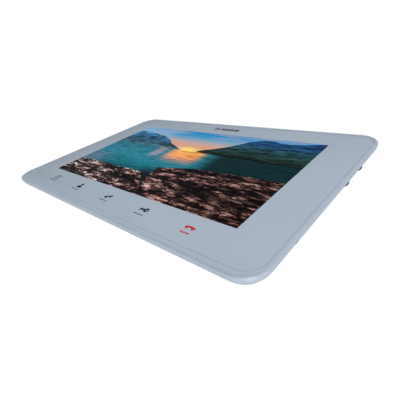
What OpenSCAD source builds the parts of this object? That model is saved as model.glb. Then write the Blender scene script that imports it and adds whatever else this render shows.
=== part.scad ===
// Wall-mounted video intercom monitor with a seven-inch display.
// X runs to the right as seen from the front, Z is up and the wall is the plane y = 0.
// The monitor faces -Y. Inside off_wall(), the third axis is the distance from the wall.

/* [Body] */
// Width of the front housing
body_w = 197.4; // [190:0.1:240]
// Height of the front housing
body_h = 126.6; // [124:0.1:156]
// Distance from the wall to the front face
body_d = 20; // [19:0.5:24]
// Corner radius of the front housing
body_r = 11.3; // [10:0.1:14]
// Height of the visible side wall
side_d = 6.2; // [5.4:0.1:7.4]
// How far the side wall draws in from front to back
side_draw = 2.7; // [1.5:0.1:2.8]
// Thickness of the side wall at its back edge
side_t = 1.3; // [1.2:0.1:2.2]

/* [Front panel] */
// Thickness of the acrylic front panel
panel_t = 1.5; // [1.2:0.1:2]
// Rim of the housing left and right of the panel
rim_x = 1.7; // [1:0.1:3]
// Rim of the housing above and below the panel
rim_z = 2.9; // [1.5:0.1:4.5]
// Corner radius of the panel
panel_r = 8.8; // [6:0.1:9]
// Thickness of the adhesive tape behind the panel
tape_t = 0.2; // [0.1:0.05:0.3]
// Thickness of the deck that carries the panel
deck_t = 1.5; // [1.2:0.1:2]

/* [Display] */
// Width of the lit area
view_w = 154.08; // [150:0.01:158]
// Height of the lit area
view_h = 85.92; // [84:0.01:88]
// Height of the lit area's centre above the body's centre
view_z = 1; // [0:0.1:2]
// Width of the display module
lcd_w = 164; // [163:0.1:165]
// Height of the display module
lcd_h = 95.6; // [94.6:0.1:96.4]
// Thickness of the display module
lcd_d = 5.2; // [4.8:0.1:5.6]

/* [Touch keys] */
// Spacing of the touch keys
key_pitch = 30; // [26:0.5:32]
// Height of the touch keys below the body's centre
key_z = 50.1; // [49.9:0.1:51.5]
// Diameter of the conductive pad behind a touch key
key_d = 6; // [4:0.5:6]

/* [Dials] */
// Diameter of a thumbwheel
dial_d = 14; // [11.7:0.1:14.5]
// Thickness of a thumbwheel
dial_t = 2.2; // [1.8:0.1:2.4]
// Height of the upper thumbwheel above the body's centre
dial_z_top = 42.5; // [41:0.1:43]
// Height of the lower thumbwheel above the body's centre
dial_z_low = 24.3; // [22:0.1:25]
// How far a thumbwheel stands out of the rear cover
dial_out = 2.6; // [1.5:0.1:2.6]
// Diameter of a thumbwheel's stub shaft
dial_shaft_d = 3; // [2:0.1:4]

/* [Rear cover] */
// Wall thickness of the rear cover
cover_t = 1.8; // [1.5:0.1:2.2]
// How far the rear cover draws in towards the wall
cover_draw = 8; // [6:0.5:8.5]
// Gap between the rear cover and the wall
wall_gap = 0.8; // [0.5:0.1:1.5]
// Diameter of the loudspeaker
speaker_d = 28; // [24:1:29]

/* [Wall bracket] */
// Width of the wall bracket
bracket_w = 104; // [102:1:106]
// Height of the wall bracket
bracket_h = 76; // [74:1:80]
// Thickness of the wall bracket's sheet
bracket_t = 1.2; // [1:0.1:1.3]
// Spacing of the wall screws, both ways
screw_pitch = 60; // [56:0.5:64]
// Diameter of the wall screws' holes
wall_hole_d = 4.2; // [3.5:0.1:5]
// How far the monitor lifts before it comes off the hooks
lift = 8; // [7.8:0.1:9.6]

/* [Screws] */
// Diameter of the screws in the side walls
side_screw_d = 1.6; // [1.6:0.1:2.2]
// Height of the side screws above and below the body's centre
side_screw_z = 35.6; // [35:0.1:36]
// Diameter of the screws on the inner boards
board_screw_d = 1.9; // [1.6:0.1:2]

/* [Hidden] */

// Smoothness of round surfaces
$fn = 64;
// Overrun of a cut past the face it opens
past = 1;
// Play between pieces that are slid together
play = 0.2;
// Play round a screw or a pin
screw_play = 0.05;
// Play between pieces that move against each other
running = 0.3;
// Play round the display module and inside its bezel
display_play = 0.3;
// Diameter of the posts that take the inner screws
screw_post_d = 4.4;
// Head of the inner screws and the cross in it
screw_head_t = 1.1;
cross_l = 2.6;
cross_w = 0.5;
cross_depth = 0.5;

// Distances from the wall
panel_back = body_d - panel_t;
deck_front = panel_back - tape_t;
deck_back = deck_front - deck_t;
part_line = body_d - side_d;
gasket_t = 0.5;
gasket_in = 1;
gasket_out = 3.5;
lcd_front = panel_back - gasket_t;
lcd_back = lcd_front - lcd_d;
chassis_t = 0.8;
chassis_back = lcd_back - chassis_t;
board_t = 1.6;
board_gap = 2;
board_front = chassis_back - board_gap;
board_back = board_front - board_t;
touch_t = 1.2;
touch_gap = 1.6;
touch_front = deck_back - touch_gap;
touch_back = touch_front - touch_t;

// Front housing
cavity_w = body_w - 2 * (side_draw + side_t);
cavity_h = body_h - 2 * (side_draw + side_t);
cavity_r = body_r - side_draw - side_t;
panel_w = body_w - 2 * rim_x;
panel_h = body_h - 2 * rim_z;
edge_r = 1.2;
tape_inset = 1;
tape_window = 0.7;

// Display module
lcd_top = view_z + view_h / 2 + 4.7;
lcd_z = lcd_top - lcd_h / 2;
bezel_t = 0.4;
bezel_lap = 2;
cell_t = 1.2;
sheet_t = 0.5;
guide_t = 2;
cell_front = lcd_front - bezel_t;
sheet_front = cell_front - cell_t;
guide_front = sheet_front - sheet_t;
guide_back = guide_front - guide_t;
guide_lap = 2;
guide_w = view_w + 2 * guide_lap;
guide_h = view_h + 2 * guide_lap;
led_h = 1.6;
bezel_back = lcd_back + 1;

// Rear cover
cover_w = cavity_w - 2 * play;
cover_h = cavity_h - 2 * play;
cover_r = cavity_r - play;
skirt_top = deck_back - play;
tub_r = 16;
tub_edge = 2.5;
tub_slope = cover_draw / (part_line - wall_gap);
cover_floor = wall_gap + cover_t;
recess_floor = 4;
recess_t = 1.6;

// Side screws
side_screw_h = part_line + 2.9;
head_d = 2.6;
head_t = 1.5;
head_slot_w = 0.4;
head_slot_l = 1.8;
head_slot_depth = 0.6;
boss_inner = 4.8;
boss_half = 2.6;
boss_top = deck_front - 0.1;
boss_gap = 0.6;

// Chassis screws, clear of the display module
top_ear_x = 62;
top_ear_z = lcd_top + 3.9;
low_ear_x = 78;
low_ear_z = lcd_top - lcd_h - 5.1;
ear_r = 2.8;
chassis_screw_l = 4;
chassis_window_x = [-58, 44];
chassis_window_z = [-18, 22];

// Flat cables, each between two touch keys or behind one
display_cable_x = [-26, -4];
touch_cable_x = [24, 36];
film_t = 0.2;
cable_play = 0.6;
socket_side = 0.5;
socket_in = 1;
socket_l = 4;

// Touch board
touch_w = 144;
touch_top = lcd_top - lcd_h - 1.5;
touch_low = -cavity_h / 2 + cover_t + 2 * play + 0.2;
touch_screw_x = 67;
touch_screw_z = -key_z - 2;
touch_screw_l = 2.6;

// Microphone
mic_x = -body_w / 2 + 12.3;
mic_z = -body_h / 2 + 10.4;
mic_d = 6;
mic_t = 2;
mic_front = deck_back - 0.4;
mic_back = mic_front - mic_t;
mic_hole_d = 1.2;
mic_duct_d = 1.8;
boot_wall = 1.2;

// Main board
board_x0 = -50;
board_x1 = 76;
board_z0 = -40;
board_z1 = 36;
board_hole_in = 4;

// Chips on the back of the main board: x, z, width, height and thickness of each
chips = [
    [20, -26, 16, 16, 1.4],
    [-2, -26, 13, 11, 1.1],
    [-22, -26, 9, 9, 1],
    [-24, 25, 10, 8, 1.2],
    [0, 25, 8, 12, 1.2],
    [24, 25, 12, 10, 1.4],
    [64, 18, 10, 12, 2.2]
];

// Capacitors on the back of the main board
capacitor_d = 6.3;
capacitor_h = 4.6;
capacitor_x = [60, 68.5];
capacitor_z = [-28, -19, -10];

// Sockets for the door panels and cameras, and the supply terminal
port_w = 12.4;
port_d = 5.8;
port_h = 4.8;
port_wall = 0.8;
port_floor = 1;
port_pitch = 2.5;
port_x = [-16.5, -2.5];
port_z = [-5.5, 5.5];
pin_w = 0.64;
pin_short = 0.6;
terminal_x = 14;
terminal_w = 11;
terminal_d = 10;
terminal_floor = 2;
clamp_pitch = 5.2;
clamp_d = 3.4;
clamp_z = -1.4;
entry_w = 3.2;
entry_z = [1.4, 4.2];

// Dials and their board
dial_h = part_line - 3.6;
dial_back = dial_h - dial_t / 2;
dial_front = dial_h + dial_t / 2;
cover_side_at_dial = cover_w / 2 - tub_slope * (part_line - dial_h);
dial_x = cover_side_at_dial + dial_out - dial_d / 2;
pot_front = part_line;
pot_back = dial_front + running;
cover_inside_at_pot = cover_w / 2 - cover_t - tub_slope * (part_line - pot_back);
pot_d = 2 * (cover_inside_at_pot - play - dial_x);
pot_cap_t = 0.5;
dial_board_t = 1;
dial_board_x0 = lcd_w / 2 + 1;
dial_board_x1 = cover_w / 2 - cover_t - 2 * play;
dial_board_low = dial_z_low - 11.5;
dial_board_top = dial_z_top + 7.5;
dial_screw_x = dial_board_x0 + 2.4;
dial_screw_z = side_screw_z - 2;
dial_screw_l = 3;
dial_slot_play = 0.5;
knurls = 30;
knurl_d = 0.7;
knurl_out = 0.07;
dish_in = 2;
dish_depth = 0.5;

// Loudspeaker
speaker_z = 0;
speaker_x = speaker_d / 2 + tub_edge + 0.1 + tub_slope * (part_line - cover_floor)
    + cover_t - cover_w / 2;
speaker_gasket_t = 0.6;
speaker_ring = 1.6;
speaker_front = cover_floor + speaker_gasket_t;
speaker_flange_t = 1;
speaker_magnet_d = 15;
speaker_basket_h = speaker_front + 4.2;
speaker_back = chassis_back - 1.1;

// Wall bracket and its hooks
hook_x = 44;
hook_w = 8;
hook_z_top = 16;
hook_z_low = -24;
hook_rise = 6;
hook_reach = recess_floor + recess_t + 0.5 + bracket_t;
window_w = 56;
window_h = 30;
bay_w = 50;
bay_h = 24;
recess_w = bracket_w + 2 * 0.8;
recess_top = bracket_h / 2 + 0.8;
recess_low = -bracket_h / 2 - lift - 0.8;
slot_play = 0.5;

// Slots of the grille and the vents
vent_w = 1.6;
vent_h = 22;
vent_x = 70;
vent_z = -18;
vent_pitch = 3.6;
grille_pitch = 3.2;
grille_in = 2.5;

// Turns the drawing so that its third axis is the distance from the wall
module off_wall() {
    rotate([90, 0, 0]) children();
}

// A flat layer between two distances from the wall
module layer(h0, h1) {
    off_wall() translate([0, 0, h0]) linear_extrude(height = h1 - h0) children();
}

// A round piece whose axis is square to the wall
module post(x, z, d, h0, h1) {
    off_wall() translate([x, z, h0]) cylinder(d = d, h = h1 - h0);
}

// A rectangular block given by its corners and its distances from the wall
module block(x0, x1, z0, z1, h0, h1) {
    off_wall() translate([x0, z0, h0]) cube([x1 - x0, z1 - z0, h1 - h0]);
}

// A rectangle with round corners
module round_rect(w, h, r) {
    square([w - 2 * r, h], center = true);
    square([w, h - 2 * r], center = true);
    for (sx = [-1, 1], sz = [-1, 1])
        translate([sx * (w / 2 - r), sz * (h / 2 - r)]) circle(r = r);
}

// A slot with round ends, standing upright
module upright_slot(w, h) {
    square([w, h - w], center = true);
    for (s = [-1, 1]) translate([0, s * (h - w) / 2]) circle(d = w);
}

// Points on a curve that leaves a towards b and arrives at c from b
function bend(a, b, c, steps) =
    [for (i = [0:steps]) let (t = i / steps) pow(1 - t, 2) * a + 2 * t * (1 - t) * b + t * t * c];

// A solid whose edge has the given profile all round a rounded rectangle.
// The profile's x runs outward from the corners' centres, and its y is the distance from the wall.
module edged_block(w, h, r, h0, h1) {
    cx = w / 2 - r;
    cz = h / 2 - r;
    off_wall() {
        for (q = [0:3])
            translate([(q == 0 || q == 3) ? cx : -cx, q < 2 ? cz : -cz, 0])
                rotate([0, 0, 90 * q]) rotate_extrude(angle = 90) children();
        for (turn = [0, 180]) rotate([0, 0, turn]) {
            translate([cx, cz, 0]) rotate([90, 0, 0]) linear_extrude(height = 2 * cz) children();
            translate([-cx, cz, 0]) rotate([90, 0, 90]) linear_extrude(height = 2 * cx) children();
        }
        translate([-cx, -cz, h0]) cube([2 * cx, 2 * cz, h1 - h0]);
    }
}

// Profile of the front housing's edge, from the front face round to its back edge
module housing_profile() {
    front = bend([body_r - edge_r, body_d], [body_r, body_d], [body_r, body_d - edge_r], 5);
    side = bend([body_r, body_d - edge_r], [body_r - 0.15, part_line + side_d * 0.35],
        [body_r - side_draw, part_line], 5);
    polygon(concat([[0, part_line], [0, body_d]], front, [for (i = [1:5]) side[i]]));
}

// Profile of the rear cover's tub, drawn in by an inset
module tub_profile(inset, floor_h, top_h) {
    top_x = tub_r - inset;
    low_x = top_x - tub_slope * (part_line - floor_h);
    rise = tub_edge * (top_h - floor_h) / norm([top_x - low_x, part_line - floor_h]);
    floor_bend = bend([low_x + tub_slope * rise, floor_h + rise], [low_x, floor_h],
        [low_x - tub_edge, floor_h], 4);
    polygon(concat([[0, top_h], [top_x + tub_slope * (top_h - part_line), top_h]], floor_bend,
        [[0, floor_h]]));
}

// Where the touch keys are
module at_keys() {
    for (i = [-2:2]) translate([i * key_pitch, -key_z]) children();
}

// Where the four chassis screws are
module at_ears() {
    for (s = [-1, 1]) {
        translate([s * top_ear_x, top_ear_z]) children();
        translate([s * low_ear_x, low_ear_z]) children();
    }
}

// Where the four main board screws are
module at_board_holes() {
    for (x = [board_x0 + board_hole_in, board_x1 - board_hole_in])
        for (z = [board_z0 + board_hole_in, board_z1 - board_hole_in])
            translate([x, z]) children();
}

// Cylinders along X at the four side screws, between two distances from the body's centre
module at_side_screws(d, x0, x1) {
    for (s = [-1, 1], z = [-side_screw_z, side_screw_z])
        translate([s * x0, -side_screw_h, z]) rotate([0, s * 90, 0]) cylinder(d = d, h = x1 - x0);
}

// Acrylic sheet, printed silver from behind, clear over the display
module front_panel() {
    color("lightsteelblue") difference() {
        layer(panel_back, body_d) round_rect(panel_w, panel_h, panel_r);
        post(mic_x, mic_z, mic_hole_d, panel_back - past, body_d + past);
    }
}

// Double-sided tape between the panel and the deck
module panel_tape() {
    color("dimgray") layer(deck_front, panel_back) difference() {
        round_rect(panel_w - 2 * tape_inset, panel_h - 2 * tape_inset, panel_r - tape_inset);
        translate([0, lcd_z])
            square([lcd_w + 2 * tape_window, lcd_h + 2 * tape_window], center = true);
        at_keys() circle(d = key_d + 1);
        translate([mic_x, mic_z]) circle(d = mic_hole_d + 1);
    }
}

// Foam frame that keeps dust off the display
module display_gasket() {
    color("black") layer(lcd_front, panel_back) difference() {
        translate([0, view_z]) square([view_w + 2 * gasket_out, view_h + 2 * gasket_out], center = true);
        translate([0, view_z]) square([view_w + 2 * gasket_in, view_h + 2 * gasket_in], center = true);
    }
}

// Moulded front shell with the deck behind the panel
module front_housing() {
    color("lightsteelblue") {
        difference() {
            edged_block(body_w, body_h, body_r, part_line, body_d) housing_profile();
            layer(deck_front, body_d + past)
                round_rect(panel_w + play, panel_h + play, panel_r + play / 2);
            layer(part_line - past, deck_back) round_rect(cavity_w, cavity_h, cavity_r);
            layer(deck_back - past, deck_front + past)
                translate([0, lcd_z])
                    square([lcd_w + 2 * display_play, lcd_h + 2 * display_play], center = true);
            layer(deck_back - past, deck_front + past) at_keys() circle(d = key_d + 1);
            block(display_cable_x[0] - cable_play, display_cable_x[1] + cable_play, touch_top, lcd_z,
                deck_back - past, deck_front + past);
            post(mic_x, mic_z, mic_duct_d, deck_back - past, deck_front + past);
            for (s = [-1, 1], z = [-side_screw_z, side_screw_z])
                block(s * (cavity_w / 2 - boss_inner / 2) - boss_inner / 2 - play,
                    s * (cavity_w / 2 - boss_inner / 2) + boss_inner / 2 + play,
                    z - boss_half - play, z + boss_half + play, deck_back - past, deck_front + past);
            at_side_screws(side_screw_d + 2 * screw_play, cavity_w / 2 - past, body_w / 2 + past);
            at_side_screws(head_d + play, cavity_w / 2 + side_t, body_w / 2 + past);
        }
        difference() {
            union() {
                layer(lcd_back, deck_back) at_ears() circle(r = ear_r);
                for (s = [-1, 1])
                    post(s * touch_screw_x, touch_screw_z, screw_post_d, touch_front, deck_back);
                post(dial_screw_x, dial_screw_z, screw_post_d, pot_front + dial_board_t, deck_back);
            }
            layer(lcd_back - past, deck_back) at_ears() circle(d = board_screw_d + 2 * screw_play);
            for (s = [-1, 1])
                post(s * touch_screw_x, touch_screw_z, board_screw_d + 2 * screw_play,
                    touch_front - past, deck_back);
            post(dial_screw_x, dial_screw_z, board_screw_d + 2 * screw_play, pot_front, deck_back);
        }
    }
}

// Steel bezel that wraps the display module's front and sides
module lcd_bezel() {
    color("silver") translate([0, 0, lcd_z]) difference() {
        layer(bezel_back, lcd_front) square([lcd_w, lcd_h], center = true);
        layer(lcd_back, cell_front) square([lcd_w - 2 * bezel_t, lcd_h - 2 * bezel_t], center = true);
        layer(cell_front - past, lcd_front + past)
            translate([0, view_z - lcd_z])
                square([view_w + bezel_lap, view_h + bezel_lap], center = true);
        block(display_cable_x[0] - cable_play, display_cable_x[1] + cable_play,
            -lcd_h / 2 - past, -lcd_h / 2 + past, lcd_back, cell_front);
    }
}

// Glass cell with the liquid crystal, as one bonded sheet
module lcd_cell() {
    color("darkslategray") translate([0, 0, lcd_z]) layer(sheet_front, cell_front)
        square([lcd_w - 2 * (bezel_t + display_play), lcd_h - 2 * (bezel_t + display_play)],
            center = true);
}

// Diffuser and prism sheets, as one stack
module diffuser_sheets() {
    color("white") translate([0, 0, view_z]) layer(guide_front, sheet_front)
        square([guide_w, guide_h], center = true);
}

// Acrylic light guide behind the sheets
module light_guide() {
    color("azure") translate([0, 0, view_z]) layer(guide_back, guide_front)
        square([guide_w, guide_h], center = true);
}

// Light emitting diodes on a strip along the light guide's lower edge
module led_strip() {
    color("khaki") block(-guide_w / 2, guide_w / 2, view_z - guide_h / 2 - led_h,
        view_z - guide_h / 2, guide_back, guide_front);
}

// White tray that closes the back of the display module
module backlight_tray() {
    color("whitesmoke") translate([0, 0, lcd_z]) difference() {
        layer(lcd_back, sheet_front)
            square([lcd_w - 2 * (bezel_t + play), lcd_h - 2 * (bezel_t + play)], center = true);
        layer(guide_back, sheet_front + past)
            translate([0, view_z - lcd_z - led_h / 2])
                square([guide_w + play, guide_h + led_h + play], center = true);
    }
}

// Sheet steel plate that holds the display module and carries the main board
module chassis_plate() {
    color("gainsboro") layer(chassis_back, lcd_back) difference() {
        union() {
            translate([0, lcd_z]) square([lcd_w - 4, lcd_h - 1], center = true);
            for (s = [-1, 1]) {
                translate([s * top_ear_x, top_ear_z / 2]) square([2 * ear_r, top_ear_z], center = true);
                translate([s * low_ear_x, low_ear_z / 2]) square([2 * ear_r, -low_ear_z], center = true);
            }
            at_ears() circle(r = ear_r);
        }
        at_ears() circle(d = board_screw_d + 2 * screw_play);
        at_board_holes() circle(d = board_screw_d + 2 * screw_play);
        for (x = chassis_window_x, z = chassis_window_z) translate([x, z]) round_rect(16, 12, 3);
    }
}

// A pan-head screw square to the wall whose head stands on the wall side
module board_screw(x, z, seat, length) {
    post(x, z, board_screw_d, seat, seat + length);
    difference() {
        post(x, z, board_screw_d * 2, seat - screw_head_t, seat);
        for (size = [[cross_l, cross_w], [cross_w, cross_l]])
            block(x - size[0] / 2, x + size[0] / 2, z - size[1] / 2, z + size[1] / 2,
                seat - screw_head_t - past, seat - screw_head_t + cross_depth);
    }
}

// Four screws through the chassis plate's ears
module chassis_screws() {
    color("gray") for (s = [-1, 1]) {
        board_screw(s * top_ear_x, top_ear_z, chassis_back, chassis_screw_l);
        board_screw(s * low_ear_x, low_ear_z, chassis_back, chassis_screw_l);
    }
}

// Circuit board with the touch key sensors
module touch_board() {
    color("darkgreen") layer(touch_back, touch_front) difference() {
        translate([-touch_w / 2, touch_low]) square([touch_w, touch_top - touch_low]);
        for (s = [-1, 1])
            translate([s * touch_screw_x, touch_screw_z])
                circle(d = board_screw_d + 2 * screw_play);
    }
}

// Conductive foam pads from the touch board to the back of the panel
module touch_pads() {
    color("dimgray") layer(touch_front, panel_back) at_keys() circle(d = key_d);
}

// Two screws that hold the touch board
module touch_screws() {
    color("gray") for (s = [-1, 1])
        board_screw(s * touch_screw_x, touch_screw_z, touch_back, touch_screw_l);
}

// Flat flexible cable from the touch board to the main board
module touch_cable() {
    x0 = touch_cable_x[0];
    x1 = touch_cable_x[1];
    socket_t = 0.8;
    run = board_front + socket_t;
    color("white") {
        block(x0, x1, touch_top - socket_l, touch_top, touch_back - film_t, touch_back);
        block(x0, x1, touch_top - film_t, touch_top, run, touch_back - film_t);
        block(x0, x1, touch_top - film_t, board_z0 + socket_in + socket_l / 2, run, run + film_t);
        block(x0 - socket_side, x1 + socket_side, board_z0 + socket_in,
            board_z0 + socket_in + socket_l, board_front, run);
    }
}

// Electret microphone capsule
module microphone() {
    color("silver") post(mic_x, mic_z, mic_d, mic_back, mic_front);
}

// Rubber boot that seals the microphone to its hole
module microphone_boot() {
    color("black") difference() {
        post(mic_x, mic_z, mic_d + 2 * boot_wall, mic_back, deck_back);
        post(mic_x, mic_z, mic_d, mic_back - past, mic_front);
        post(mic_x, mic_z, mic_duct_d, deck_back - past, deck_back + past);
    }
}

// Flat pair of wires from the microphone to the touch board
module microphone_leads() {
    lead_h = touch_back - 0.8;
    lead_w = 0.8;
    over = touch_top + 0.25;
    end_x = -touch_w / 2 + 2;
    color("crimson") {
        block(mic_x - lead_w / 2, mic_x + lead_w / 2, mic_z, over + lead_w, lead_h, touch_back);
        block(mic_x, mic_x + lead_w, mic_z, mic_z + lead_w, lead_h, mic_back);
        block(mic_x, end_x, over, over + lead_w, lead_h, touch_back);
        block(end_x - lead_w, end_x, over - 2, over + lead_w, lead_h, touch_back);
    }
}

// Main circuit board
module main_board() {
    color("darkgreen") layer(board_back, board_front) difference() {
        translate([board_x0, board_z0]) square([board_x1 - board_x0, board_z1 - board_z0]);
        at_board_holes() circle(d = board_screw_d + 2 * screw_play);
    }
}

// Chips on the back of the main board
module board_chips() {
    color("black") for (c = chips)
        block(c[0] - c[2] / 2, c[0] + c[2] / 2, c[1] - c[3] / 2, c[1] + c[3] / 2,
            board_back - c[4], board_back);
}

// Electrolytic capacitors on the back of the main board
module board_capacitors() {
    color("silver") for (x = capacitor_x, z = capacitor_z)
        post(x, z, capacitor_d, board_back - capacitor_h, board_back);
}

// Threaded standoffs between the chassis plate and the main board
module board_standoffs() {
    color("goldenrod") layer(board_front, chassis_back) at_board_holes() difference() {
        circle(d = screw_post_d);
        circle(d = board_screw_d + 2 * screw_play);
    }
}

// Four screws that hold the main board
module board_screws() {
    color("gray") for (x = [board_x0 + board_hole_in, board_x1 - board_hole_in])
        for (z = [board_z0 + board_hole_in, board_z1 - board_hole_in])
            board_screw(x, z, board_back, board_t + board_gap + 0.4);
}

// Four-way wire-to-board sockets for two door panels and two cameras
module bus_connectors() {
    color("ivory") for (x = port_x, z = port_z) difference() {
        block(x - port_w / 2, x + port_w / 2, z - port_d / 2, z + port_d / 2,
            board_back - port_h, board_back);
        difference() {
            block(x - port_w / 2 + port_wall, x + port_w / 2 - port_wall,
                z - port_d / 2 + port_wall, z + port_d / 2 - port_wall,
                board_back - port_h - past, board_back - port_floor);
            for (i = [-1.5:1.5])
                block(x + i * port_pitch - pin_w / 2, x + i * port_pitch + pin_w / 2,
                    z - pin_w / 2, z + pin_w / 2,
                    board_back - port_h + pin_short, board_back - port_floor + past);
        }
    }
}

// Two-way screw terminal for the supply
module power_terminal() {
    color("seagreen") difference() {
        block(terminal_x - terminal_w / 2, terminal_x + terminal_w / 2,
            -terminal_d / 2, terminal_d / 2, board_back - port_h, board_back);
        for (x = [terminal_x - clamp_pitch / 2, terminal_x + clamp_pitch / 2]) {
            post(x, clamp_z, clamp_d, board_back - port_h - past, board_back - terminal_floor);
            block(x - entry_w / 2, x + entry_w / 2, entry_z[0], entry_z[1],
                board_back - port_h - past, board_back - terminal_floor);
        }
    }
}

// Flat flexible cable from the display's lower edge round to the main board
module display_cable() {
    x0 = display_cable_x[0];
    x1 = display_cable_x[1];
    edge = lcd_top - lcd_h;
    drop = edge - 0.9;
    socket_t = 1.1;
    run = board_front + socket_t;
    color("darkorange") {
        block(x0, x1, drop, edge + 0.6, sheet_front - film_t, sheet_front);
        block(x0, x1, drop, drop + film_t, run, sheet_front);
        block(x0, x1, drop, board_z0 + socket_in + socket_l / 2, run, run + film_t);
        block(x0 - socket_side, x1 + socket_side, board_z0 + socket_in,
            board_z0 + socket_in + socket_l, board_front, run);
    }
}

// Small circuit board under the thumbwheels
module dial_board() {
    color("darkgreen") layer(pot_front, pot_front + dial_board_t) difference() {
        translate([dial_board_x0, dial_board_low])
            square([dial_board_x1 - dial_board_x0, dial_board_top - dial_board_low]);
        translate([cover_w / 2 - boss_inner - boss_gap, side_screw_z - boss_half - boss_gap])
            square([boss_inner, 2 * (boss_half + boss_gap)]);
        translate([dial_screw_x, dial_screw_z]) circle(d = board_screw_d + 2 * screw_play);
    }
}

// Screw that holds the dial board
module dial_board_screw() {
    color("gray") board_screw(dial_screw_x, dial_screw_z, pot_front, dial_screw_l);
}

// Flat lead from the dial board to the main board
module dial_leads() {
    z0 = dial_z_low - 11;
    color("white") {
        block(dial_board_x0 + 0.6, dial_board_x0 + 1.8, z0, z0 + 3, board_front + 0.9, pot_front);
        block(board_x1 - 4, dial_board_x0 + 1.8, z0, z0 + 3, board_front + 0.9, board_front + 1.8);
        block(board_x1 - 5, board_x1 - 1, z0 - 0.6, z0 + 3.6, board_front, board_front + 0.9);
    }
}

// A potentiometer's body, bored for the thumbwheel's shaft
module pot(z) {
    color("slategray") difference() {
        union() {
            post(dial_x, z, pot_d, pot_back, pot_front);
            block(dial_board_x0 + 0.2, dial_x, z - pot_d / 2 + 0.8, z + pot_d / 2 - 0.8,
                pot_back + 0.6, pot_front);
        }
        post(dial_x, z, dial_shaft_d + 2 * screw_play, dial_front, pot_front - pot_cap_t);
    }
}

module brightness_pot() {
    pot(dial_z_top);
}

module volume_pot() {
    pot(dial_z_low);
}

// A knurled thumbwheel with the stub shaft that turns its potentiometer
module dial(z) {
    color("black") {
        difference() {
            post(dial_x, z, dial_d, dial_back, dial_front);
            off_wall() for (i = [0:knurls - 1])
                translate([dial_x, z, dial_back - past]) rotate([0, 0, i * 360 / knurls])
                    translate([dial_d / 2 + knurl_out, 0, 0])
                        cylinder(d = knurl_d, h = dial_t + 2 * past, $fn = 16);
            post(dial_x, z, dial_d - 2 * dish_in, dial_back - past, dial_back + dish_depth);
        }
        post(dial_x, z, dial_shaft_d, dial_h, pot_front - pot_cap_t - running);
    }
}

module brightness_dial() {
    dial(dial_z_top);
}

module volume_dial() {
    dial(dial_z_low);
}

// Turns a half profile about the loudspeaker's axis; its y is the distance from the wall
module speaker_turned() {
    off_wall() translate([speaker_x, speaker_z, 0]) rotate_extrude() children();
}

// Steel basket of the loudspeaker with its terminal tab
module speaker_frame() {
    r = speaker_d / 2;
    neck = speaker_magnet_d / 2;
    flange = speaker_front + speaker_flange_t;
    color("darkgray") {
        speaker_turned() polygon([
            [r - speaker_ring, speaker_front], [r, speaker_front], [r, flange], [r - 1, flange],
            [neck, speaker_basket_h], [neck - 2, speaker_basket_h], [neck - 2, speaker_basket_h - 0.6],
            [r - speaker_ring, flange - 0.6]
        ]);
        block(speaker_x + neck, speaker_x + r + 0.5, speaker_z - 3, speaker_z + 3,
            speaker_basket_h - 0.8, speaker_basket_h);
    }
}

// Paper cone with its dust cap
module speaker_cone() {
    r = speaker_d / 2 - 1.8;
    neck = speaker_magnet_d / 2 - 2.5;
    low = speaker_front + 0.1;
    high = speaker_basket_h - 1;
    color("saddlebrown") speaker_turned() polygon([
        [0, high - 1.6], [3, high - 1.2], [neck, high - 0.4], [r - 1, low + 0.1], [r, low],
        [r, low + 0.3], [r - 1, low + 0.45], [neck, high], [0, high]
    ]);
}

// Magnet and yoke
module speaker_magnet() {
    color("dimgray") post(speaker_x, speaker_z, speaker_magnet_d, speaker_basket_h, speaker_back);
}

// Foam ring that seals the loudspeaker to its grille
module speaker_gasket() {
    color("black") layer(cover_floor, speaker_front) translate([speaker_x, speaker_z]) difference() {
        circle(d = speaker_d);
        circle(d = speaker_d - 2 * speaker_ring);
    }
}

// Flat pair of wires from the loudspeaker to the main board
module speaker_leads() {
    color("crimson") block(speaker_x + speaker_d / 2 - 2, board_x0 + 3, speaker_z - 1, speaker_z + 1,
        speaker_basket_h, board_back);
}

// Shape of the rear cover's outside
module cover_outside() {
    layer(part_line - cover_t, skirt_top) round_rect(cover_w, cover_h, cover_r);
    edged_block(cover_w, cover_h, tub_r, wall_gap, part_line) tub_profile(0, wall_gap, part_line);
}

// Space inside the rear cover
module cover_inside() {
    layer(part_line, skirt_top + past)
        round_rect(cover_w - 2 * cover_t, cover_h - 2 * cover_t, cover_r - cover_t);
    edged_block(cover_w - 2 * cover_t, cover_h - 2 * cover_t, tub_r - cover_t, cover_floor, part_line)
        tub_profile(cover_t, cover_floor, part_line);
}

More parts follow.
